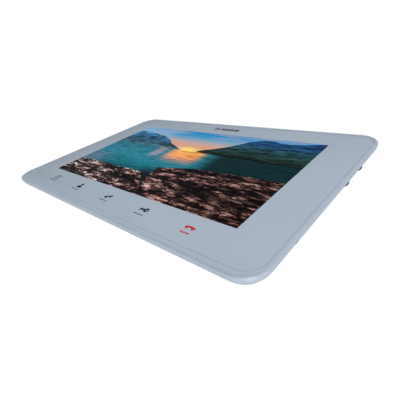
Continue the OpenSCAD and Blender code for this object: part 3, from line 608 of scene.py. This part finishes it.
def arc_band(radius, sweep, thin, thick, end, turn, steps=24):
    """A bent bar with thicker ends, such as a telephone handset, turned by an angle in degrees."""
    sides = ([], [])
    for i in range(steps + 1):
        t = 2 * i / steps - 1
        half = thick if abs(t) > end else thin
        angle = math.radians(90 + sweep * t)
        for side, sign in zip(sides, (1, -1)):
            reach = radius + (half if sign > 0 else -(2 * half - thin))
            side.append((reach * math.cos(angle), reach * math.sin(angle) - radius))
    c, s = math.cos(math.radians(turn)), math.sin(math.radians(turn))
    return [(x * c - y * s, x * s + y * c) for x, y in sides[0] + sides[1][::-1]]


def key_shape():
    """A door key lying on its side, bow to the right, as an outline and the hole in its bow."""
    bow = [(1.35 + 1.5 * math.cos(math.radians(a)), 1.5 * math.sin(math.radians(a)))
           for a in range(-160, 161, 10)]
    shaft = [(-2.9, 0.5), (-2.9, -0.35), (-2.7, -1.15), (-2.1, -1.15), (-2.0, -0.5), (-1.6, -0.5),
             (-1.5, -1.0), (-0.9, -1.0), (-0.8, -0.5)]
    return [fixed_outline(bow + shaft), round_outline(1.1, (1.6, 0.0), 16)]


def person_shape():
    """A head and shoulders, as two outlines."""
    shoulders = [(2.3 * math.cos(math.radians(a)), 2.1 * math.sin(math.radians(a)) - 2.0)
                 for a in range(0, 181, 10)]
    return [[round_outline(2.1, (0.0, 1.3), 24)], [fixed_outline(shoulders)]]


def menu_shape():
    """A small screen with two lines on it and a foot, as outlines."""
    screen = [rounded_outline(5.4, 3.7, 0.6, steps=4), rounded_outline(4.3, 2.6, 0.2, steps=4)]
    lines = [[rounded_outline(3.2, 0.5, 0.2, (0.0, y), steps=3)] for y in (0.55, -0.55)]
    return [screen] + lines + [[rounded_outline(2.8, 0.5, 0.2, (0.0, -2.5), steps=3)]]


def dashes(*widths):
    """A row of small bars, centred, that stands in for a caption under a symbol."""
    height, gap, up = 0.85, 0.4, -3.9
    start = -(sum(widths) + gap * (len(widths) - 1)) / 2
    row = []
    for width in widths:
        row.append([rounded_outline(width, height, height * 0.3, (start + width / 2, up), steps=3)])
        start += width + gap
    return row


def house_shape():
    """A plain house outline beside a row of rounded boxes, as outlines."""
    outer = [(-10.2, -1.7), (-6.6, -1.7), (-6.6, 0.2), (-5.9, 0.2), (-8.4, 2.3), (-10.9, 0.2),
             (-10.2, 0.2)]
    inner = [(-9.2, -0.8), (-7.6, -0.8), (-7.6, 0.4), (-8.4, 1.1), (-9.2, 0.4)]
    boxes = [[rounded_outline(3.2, 3.3, 0.7, (x, 0.0), steps=4),
              rounded_outline(1.0, 1.1, 0.2, (x, 0.0), steps=2)] for x in (-3.2, 0.9, 5.0, 9.1)]
    return [[fixed_outline(outer), fixed_outline(inner)]] + boxes


class INTERCOM_OT_symbols(Operator):
    """Print the key symbols, their captions and the mark above the display"""
    bl_idname = "intercom.symbols"
    bl_label = "Printed symbols"

    def execute(self, context):
        sizes, finishes = context.scene.intercom_sizes, context.scene.intercom_finishes
        front = -node_box("front_panel")[0].y
        profile = [(0.0, front), (0.0, front - sizes.print_build / MM)]
        inks = {"black": ink_print("screen_printed_black_ink", finishes.ink),
                "grey": ink_print("screen_printed_grey_ink", finishes.pale_ink),
                "red": ink_print("screen_printed_red_ink", finishes.red_ink)}
        talk = arc_band(3.2, 42, 0.55, 1.05, 0.52, 32)
        hang_up = arc_band(3.4, 45, 0.6, 0.85, 0.56, 0)
        prints = [
            ("menu_symbol", "grey", -2, menu_shape()),
            ("menu_caption", "grey", -2, dashes(1.5, 1.9, 1.2, 1.6)),
            ("person_symbol", "black", -1, person_shape()),
            ("person_caption", "grey", -1, dashes(1.8, 1.2, 1.9, 1.1)),
            ("talk_symbol", "black", 0, [[fixed_outline(talk)]]),
            ("talk_caption", "grey", 0, dashes(1.3, 1.7, 1.1, 1.3)),
            ("key_symbol", "black", 1, [key_shape()]),
            ("key_caption", "grey", 1, dashes(1.6, 1.1, 1.3, 1.2)),
            ("hang_up_symbol", "red", 2, [[fixed_outline(hang_up)]]),
            ("hang_up_caption", "red", 2, dashes(1.2, 1.4, 1.5)),
        ]
        key_step, key_up, mark_up = sizes.key_spacing / MM, -sizes.key_down / MM, 52.6
        prints = [(name, ink, (place * key_step, key_up), shapes)
                  for name, ink, place, shapes in prints]
        prints.append(("house_mark", "black", (0, mark_up), house_shape()))
        for name, ink, place, shapes in prints:
            mesh = bmesh.new()
            for outer, *holes in shapes:
                plate(mesh, outer, holes, profile)
            make_piece(name, mesh, inks[ink], "monitor",
                       place=FROM_WALL @ Matrix.Translation((*place, 0)))
        return {"FINISHED"}


class INTERCOM_OT_thumbwheels(Operator):
    """Make the two knurled thumbwheels"""
    bl_idname = "intercom.thumbwheels"
    bl_label = "Thumbwheels"

    def execute(self, context):
        knurls = context.scene.intercom_sizes.knurls
        acetal = moulded_acetal(context.scene.intercom_finishes.wheel)
        # Thickness of the rim, depth of a groove, points round the rim for each groove
        thick, depth, around = 2.2, 0.42, 8
        for wheel in ("brightness", "volume"):
            node = wheel + "_dial"
            low, high = node_box(node)
            radius = (high.z - low.z) / 2
            centre = (high.x - radius, (high.z + low.z) / 2)
            back, tip = -high.y, -low.y
            front = back + thick
            mesh = bmesh.new()
            # (radius, distance from the wall, share of the groove's depth) from the dished back
            # face, over the rim, to the front face and along the stub shaft
            steps = [(1.6, back + 0.5, 0), (radius - 2.3, back + 0.5, 0), (radius - 2.0, back + 0.4, 0),
                     (radius - 1.8, back + 0.08, 0), (radius - 1.65, back, 0),
                     (radius - 0.55, back, 0.0), (radius - 0.3, back + 0.06, 0.35),
                     (radius - 0.1, back + 0.2, 0.75), (radius, back + 0.42, 1),
                     (radius, front - 0.42, 1), (radius - 0.1, front - 0.2, 0.75),
                     (radius - 0.3, front - 0.06, 0.35), (radius - 0.55, front, 0.0),
                     (1.7, front, 0), (1.5, front + 0.2, 0), (1.5, tip - 0.2, 0), (1.35, tip, 0)]
            rings = []
            for reach, height, share in steps:
                ring = []
                for i in range(knurls * around):
                    turn = 2 * math.pi * i / (knurls * around)
                    cut = max(0.0, math.cos(knurls * turn)) ** 1.5 * depth * share
                    ring.append(mesh.verts.new((centre[0] + (reach - cut) * math.cos(turn),
                                                centre[1] + (reach - cut) * math.sin(turn), height)))
                if rings:
                    bridge(mesh, rings[-1], ring)
                rings.append(ring)
            for ring in (rings[0], rings[-1]):
                fill(mesh, [ring])
            make_piece(wheel + "_thumbwheel", mesh, acetal, wheel + "_wheel", [node],
                       smooth=40.0)
        return {"FINISHED"}


def cross_outline(length, width):
    """A cross recess as a function that gives its twelve points, drawn in by an inset."""
    def at(inset):
        a, b = length / 2 - inset, width / 2 - inset * 0.5
        return [(a, b), (b, b), (b, a), (-b, a), (-b, b), (-a, b), (-a, -b), (-b, -b), (-b, -a),
                (b, -a), (b, -b), (a, -b)]
    return at


def screw_head(mesh, diameter, height, cross, depth):
    """A domed screw head from z = 0 up, with a tapered cross recess in its top."""
    skirt = round_outline(diameter, steps=36)
    levels = [(0.0, 0.0), (0.0, height * 0.55), (diameter * 0.04, height * 0.78),
              (diameter * 0.12, height * 0.93), (diameter * 0.2, height)]
    rings = [[mesh.verts.new((x, y, z)) for x, y in skirt(inset)] for inset, z in levels]
    recess = [[mesh.verts.new((x, y, z)) for x, y in cross_outline(*cross)(inset)]
              for inset, z in ((0.0, height), (0.15, height - depth))]
    for one, other in zip(rings, rings[1:]):
        bridge(mesh, one, other)
    bridge(mesh, recess[0], recess[1])
    fill(mesh, [rings[-1], recess[0]])
    fill(mesh, [recess[1]])
    fill(mesh, [rings[0]])


class INTERCOM_OT_side_screws(Operator):
    """Make the four cross-head screws in the side walls"""
    bl_idname = "intercom.side_screws"
    bl_label = "Side screws"

    def execute(self, context):
        # Steel blackened in hot salts: near black, faintly blue, with bright wear on the edges. The
        # near-black colour is also painted shade: it makes the screws' recesses in the side walls look
        # dark.
        black = surface("blackened_steel_and_painted_recess_shade", linear("26282C"), 0.4, grain=0.5, relief=0.003,
                        mottle=0.2, cloud=2.0, edge=0.06, Metallic=1.0)
        low, high = node_box("side_screws")
        head_d, head_h, cross, cross_depth = 2.6, 1.5, (1.8, 0.45), 0.6
        shank_d, shank, point = 1.6, 6.1, 0.3
        mesh = bmesh.new()
        depth = -(low.y + high.y) / 2
        rise = high.z - head_d / 2
        for side in (-1, 1):
            for up in (-rise, rise):
                screw = bmesh.new()
                screw_head(screw, head_d, head_h, cross, cross_depth)
                plate(screw, round_outline(shank_d, steps=24), [],
                      [(0.0, 0.0), (0.0, -shank + point), (point, -shank)])
                seat = Matrix.Translation((side * (high.x - head_h), -depth, up))
                join(mesh, screw, seat @ Matrix.Rotation(math.radians(90 * side), 4, "Y"))
        make_piece("cross_head_screws", mesh, black, "monitor", ["side_screws"],
                   place=Matrix())
        return {"FINISHED"}


class INTERCOM_OT_connections(Operator):
    """Finish the connectors and the terminal, and add their pins and clamp screws"""
    bl_idname = "intercom.connections"
    bl_label = "Connectors and terminal"

    def execute(self, context):
        # Ivory nylon, moulded: warm off-white, slightly waxy
        finish_nodes(["bus_connectors"], surface(
            "moulded_ivory_nylon", linear("E6E0CC"), 0.42, grain=0.5, relief=0.004, mottle=0.03,
            cloud=5.0, edge=0.15, Subsurface_Weight=0.05))
        # Green polyamide, moulded: even mid green with a half gloss
        finish_nodes(["power_terminal"], surface(
            "moulded_green_polyamide", linear("2E8A50"), 0.4, grain=0.5, relief=0.005, mottle=0.05,
            cloud=5.0, edge=0.15))
        # Tinned brass: bright, pale and faintly streaked by drawing
        tin = surface("tinned_brass", linear("CFCDC4"), 0.24, grain=0.3, relief=0.002, mottle=0.06,
                      cloud=2.0, stretch=(1, 8, 1), Metallic=1.0)
        low, high = node_box("bus_connectors")
        # Four sockets, each with four square pins. A pin's tip, shoulder and foot are measured
        # from the sockets' mouths.
        mouth, pins, pitch, pin, pin_r = -high.y, 4, 2.5, 0.66, 0.1
        socket_in, socket_up, blunt, tip, shoulder, foot = 6.2, 2.9, 0.18, 0.58, 0.95, 3.79
        profile = [(blunt, mouth + tip), (0.0, mouth + shoulder), (0.0, mouth + foot)]
        mesh = bmesh.new()
        for x in (low.x + socket_in, high.x - socket_in):
            for z in (low.z + socket_up, high.z - socket_up):
                for i in range(pins):
                    place = (x + (i - (pins - 1) / 2) * pitch, z)
                    plate(mesh, rounded_outline(pin, pin, pin_r, place, steps=2), [], profile)
        make_piece("connector_pins", mesh, tin, "monitor")
        low, high = node_box("power_terminal")
        middle, mouth = (low.x + high.x) / 2, -high.y
        head_d, head_h, cross, cross_depth = 3.2, 1.4, (2.3, 0.6), 0.7
        clamp_x, clamp_z, clamp_in = 2.6, -1.4, 2.75
        mesh = bmesh.new()
        for side in (-1, 1):
            clamp = bmesh.new()
            screw_head(clamp, head_d, head_h, cross, cross_depth)
            seat = Matrix.Translation((middle + side * clamp_x, clamp_z, mouth + clamp_in))
            join(mesh, clamp, seat @ Matrix.Rotation(math.pi, 4, "X"))
        make_piece("clamp_screws", mesh, tin, "monitor")
        return {"FINISHED"}


class INTERCOM_OT_inner_parts(Operator):
    """Finish the boards, the display module, the loudspeaker and the other inner parts"""
    bl_idname = "intercom.inner_parts"
    bl_label = "Inner parts"

    def execute(self, context):
        finish_nodes(["main_board", "touch_board", "dial_board"], solder_masked_board())
        # Name of the surface, colour, roughness, grain and relief in mm, plain sockets, nodes
        inner = [
            # Stamped steel: grey, rolled, with fine lines
            ("stamped_steel", "A9ADB1", 0.34, 0.4, 0.004, {"Metallic": 1.0},
             ["lcd_bezel", "chassis_plate", "speaker_frame"]),
            # Nickel-plated screws: bright and warm
            ("nickel_plated_steel", "B8B4AA", 0.24, 0.3, 0.002, {"Metallic": 1.0},
             ["chassis_screws", "touch_screws", "board_screws", "dial_board_screw"]),
            # Turned brass: yellow, with rings from the tool
            ("turned_brass", "C9A35B", 0.26, 0.2, 0.002, {"Metallic": 1.0}, ["board_standoffs"]),
            # Drawn aluminium: pale and soft in its gloss
            ("drawn_aluminium", "CDD0D3", 0.3, 0.4, 0.003, {"Metallic": 1.0},
             ["board_capacitors", "microphone", "brightness_pot", "volume_pot"]),
            # Moulded epoxy: black and matt, with a fine grain
            ("moulded_black_epoxy", "1B1B1D", 0.55, 0.15, 0.006, {}, ["board_chips"]),
            # Polarised display glass: near black with a hard gloss
            ("polarised_display_glass", "0A0D11", 0.08, 2.0, 0.0005, {"IOR": 1.52}, ["lcd_cell"]),
            # Opal film: white and silky
            ("opal_diffuser_film", "ECEDEC", 0.5, 0.3, 0.002, {}, ["diffuser_sheets"]),
            # Clear acrylic light guide, seen as a pale solid
            ("polished_light_guide", "DDE6E8", 0.1, 1.0, 0.001, {"IOR": 1.49}, ["light_guide"]),
            # White moulded ABS: clean and slightly glossy
            ("moulded_white_abs", "E3E2DD", 0.42, 0.5, 0.005, {},
             ["led_strip", "backlight_tray", "touch_cable", "dial_leads"]),
            # Polyimide film: amber, smooth and glossy
            ("polyimide_film", "B5702A", 0.22, 0.6, 0.001, {}, ["display_cable"]),
            # Closed-cell foam: black, dull, with open cells on its cut faces
            ("closed_cell_foam", "202022", 0.85, 0.3, 0.06, {},
             ["display_gasket", "touch_pads", "speaker_gasket"]),
            # Silicone rubber: black and dull
            ("moulded_silicone_rubber", "161617", 0.7, 0.4, 0.01, {}, ["microphone_boot"]),
            # Polyester film tape: dark, smooth
            ("polyester_film_tape", "35373A", 0.4, 0.8, 0.002, {}, ["panel_tape"]),
            # Pressed paper: dark grey-brown with fibres
            ("pressed_paper_cone", "2A2724", 0.8, 0.35, 0.03, {}, ["speaker_cone"]),
            # Sintered ferrite: dark grey, dull and stony
            ("sintered_ferrite", "3C3D40", 0.6, 0.25, 0.012, {}, ["speaker_magnet"]),
            # Wire insulation: red, soft and slightly glossy
            ("pvc_wire_insulation", "8E2020", 0.45, 0.5, 0.004, {},
             ["microphone_leads", "speaker_leads"]),
        ]
        for name, code, roughness, grain, relief, sockets, nodes in inner:
            finish_nodes(nodes, surface(name, linear(code), roughness, grain, relief, mottle=0.08,
                                        spread=min(0.06, roughness / 2), cloud=8.0, **sockets))
        return {"FINISHED"}


class INTERCOM_OT_stage(Operator):
    """Make the floor, the lights, the white surroundings and the camera"""
    bl_idname = "intercom.stage"
    bl_label = "Stage"

    def execute(self, context):
        scene, settings = context.scene, context.scene.intercom_stage
        # Matt emulsion on a plain floor: pale and even, with a faint roller texture
        paint = surface("matt_floor_paint", linear("ECECEA"), 0.8, grain=3.0, relief=0.05,
                        mottle=0.01, cloud=400.0)
        floor_d = 24000.0
        mesh = bmesh.new()
        fill(mesh, [[mesh.verts.new((x, y, 0.0)) for x, y in round_outline(
            floor_d, steps=96)(0.0)]])
        bmesh.ops.scale(mesh, vec=(MM, MM, MM), verts=mesh.verts)
        data = bpy.data.meshes.new("floor")
        mesh.to_mesh(data)
        mesh.free()
        data.materials.append(paint)
        floor = bpy.data.objects.new("floor", data)
        floor.location.z = -settings.floor_down
        scene.collection.objects.link(floor)

        # Plain surroundings: white where the camera sees them, even in their light, and in their
        # gloss darker on the side that the front faces, so that the display keeps its deep blacks
        world = bpy.data.worlds.new("studio")
        world.use_nodes = True
        tree = world.node_tree
        tree.nodes.clear()
        path = add(tree, "ShaderNodeLightPath", out=None)
        ahead = add(tree, "ShaderNodeTexCoord", out=0)
        right = add(tree, "ShaderNodeVectorMath", {0: ahead, 1: (0.9, 0.15, -0.3)}, 1,
                    operation="DOT_PRODUCT")
        gloss = add(tree, RAMP, {0: add(tree, RANGE, {0: right, 1: -0.6, 2: 0.9})}, stops=[
            (0.0, "4A4F55"), (0.45, "8C9299"), (1.0, "F4F6F8")])
        behind = add(tree, "ShaderNodeVectorMath", {0: ahead, 1: (0.0, 1.0, 0.0)}, 1,
                     operation="DOT_PRODUCT")
        even = add(tree, RAMP, {0: add(tree, RANGE, {0: behind, 1: -1.0, 2: 1.0})}, stops=[
            (0.0, "F4F6FA"), (0.5, "EEF0F4"), (0.72, "B4B7BC"), (1.0, "A4A7AC")])
        light = mix(tree, path.outputs["Is Glossy Ray"], even, gloss)
        seen = mix(tree, path.outputs["Is Camera Ray"], light, linear("FFFFFF"))
        background = add(tree, "ShaderNodeBackground", {0: seen, 1: 1.0})
        add(tree, "ShaderNodeOutputWorld", {0: background}, out=None)
        scene.world = world

        # Name, power in watts, side in metres, place in metres; each points at the monitor
        for name, power, side, place in (
                ("key_light", settings.key_power, 0.9, (0.7, -1.0, 1.0)),
                ("low_light", settings.low_power, 0.5, (0.8, 0.9, -0.68)),
                ("rear_light", settings.key_power / 2, 1.4, (-0.6, 1.0, 1.1))):
            lamp = bpy.data.lights.new(name, "AREA")
            lamp.energy, lamp.size = power, side
            spot = bpy.data.objects.new(name, lamp)
            spot.location = place
            spot.rotation_mode = "QUATERNION"
            spot.rotation_quaternion = (-Vector(place)).to_track_quat("-Z", "Y")
            scene.collection.objects.link(spot)

        # The camera's own axes and its place, in metres
        right, upward, back = ((0.7361982, 0.1763524, 0.6533851),
                               (-0.2156869, -0.8539687, 0.4735151),
                               (0.6414760, -0.4895276, -0.5906533))
        lens = bpy.data.cameras.new("camera")
        lens.lens, lens.sensor_width, lens.clip_start, lens.clip_end = 27.957, 36.0, 0.001, 100.0
        camera = bpy.data.objects.new("camera", lens)
        camera_place = (0.14030, -0.08968, -0.11587)
        camera.matrix_world = Matrix.Translation(camera_place) @ Matrix(
            (right, upward, back)).transposed().to_4x4()
        scene.collection.objects.link(camera)
        scene.camera = camera
        scene.view_settings.view_transform = "Standard"
        return {"FINISHED"}


class INTERCOM_PT_looks(Panel):
    """Lists the pieces and their settings"""
    bl_idname = "INTERCOM_PT_looks"
    bl_label = "Intercom monitor"
    bl_space_type = "VIEW_3D"
    bl_region_type = "UI"
    bl_category = "Intercom"

    def draw(self, context):
        for group in GROUPS:
            settings = getattr(context.scene, group)
            box = self.layout.box()
            for name in settings.bl_rna.properties.keys():
                if name not in ("rna_type", "name"):
                    box.prop(settings, name)
        for operator in OPERATORS:
            self.layout.operator(operator.bl_idname)


OPERATORS = (
    INTERCOM_OT_stage,
    INTERCOM_OT_casework,
    INTERCOM_OT_front_window,
    INTERCOM_OT_display_picture,
    INTERCOM_OT_symbols,
    INTERCOM_OT_thumbwheels,
    INTERCOM_OT_side_screws,
    INTERCOM_OT_connections,
    INTERCOM_OT_inner_parts,
)
GROUPS = {
    "intercom_finishes": IntercomFinishes,
    "intercom_sizes": IntercomSizes,
    "intercom_picture": IntercomPicture,
    "intercom_stage": IntercomStage,
}


def register():
    for made in (*GROUPS.values(), *OPERATORS, INTERCOM_PT_looks):
        bpy.utils.register_class(made)
    for name, group in GROUPS.items():
        setattr(bpy.types.Scene, name, PointerProperty(type=group))


def unregister():
    for name in GROUPS:
        delattr(bpy.types.Scene, name)
    for made in (INTERCOM_PT_looks, *OPERATORS, *GROUPS.values()):
        bpy.utils.unregister_class(made)


def main():
    register()
    for operator in OPERATORS:
        group, name = operator.bl_idname.split(".")
        if getattr(getattr(bpy.ops, group), name)() != {"FINISHED"}:
            raise RuntimeError(operator.bl_label + " did not finish")


if __name__ == "__main__":
    main()
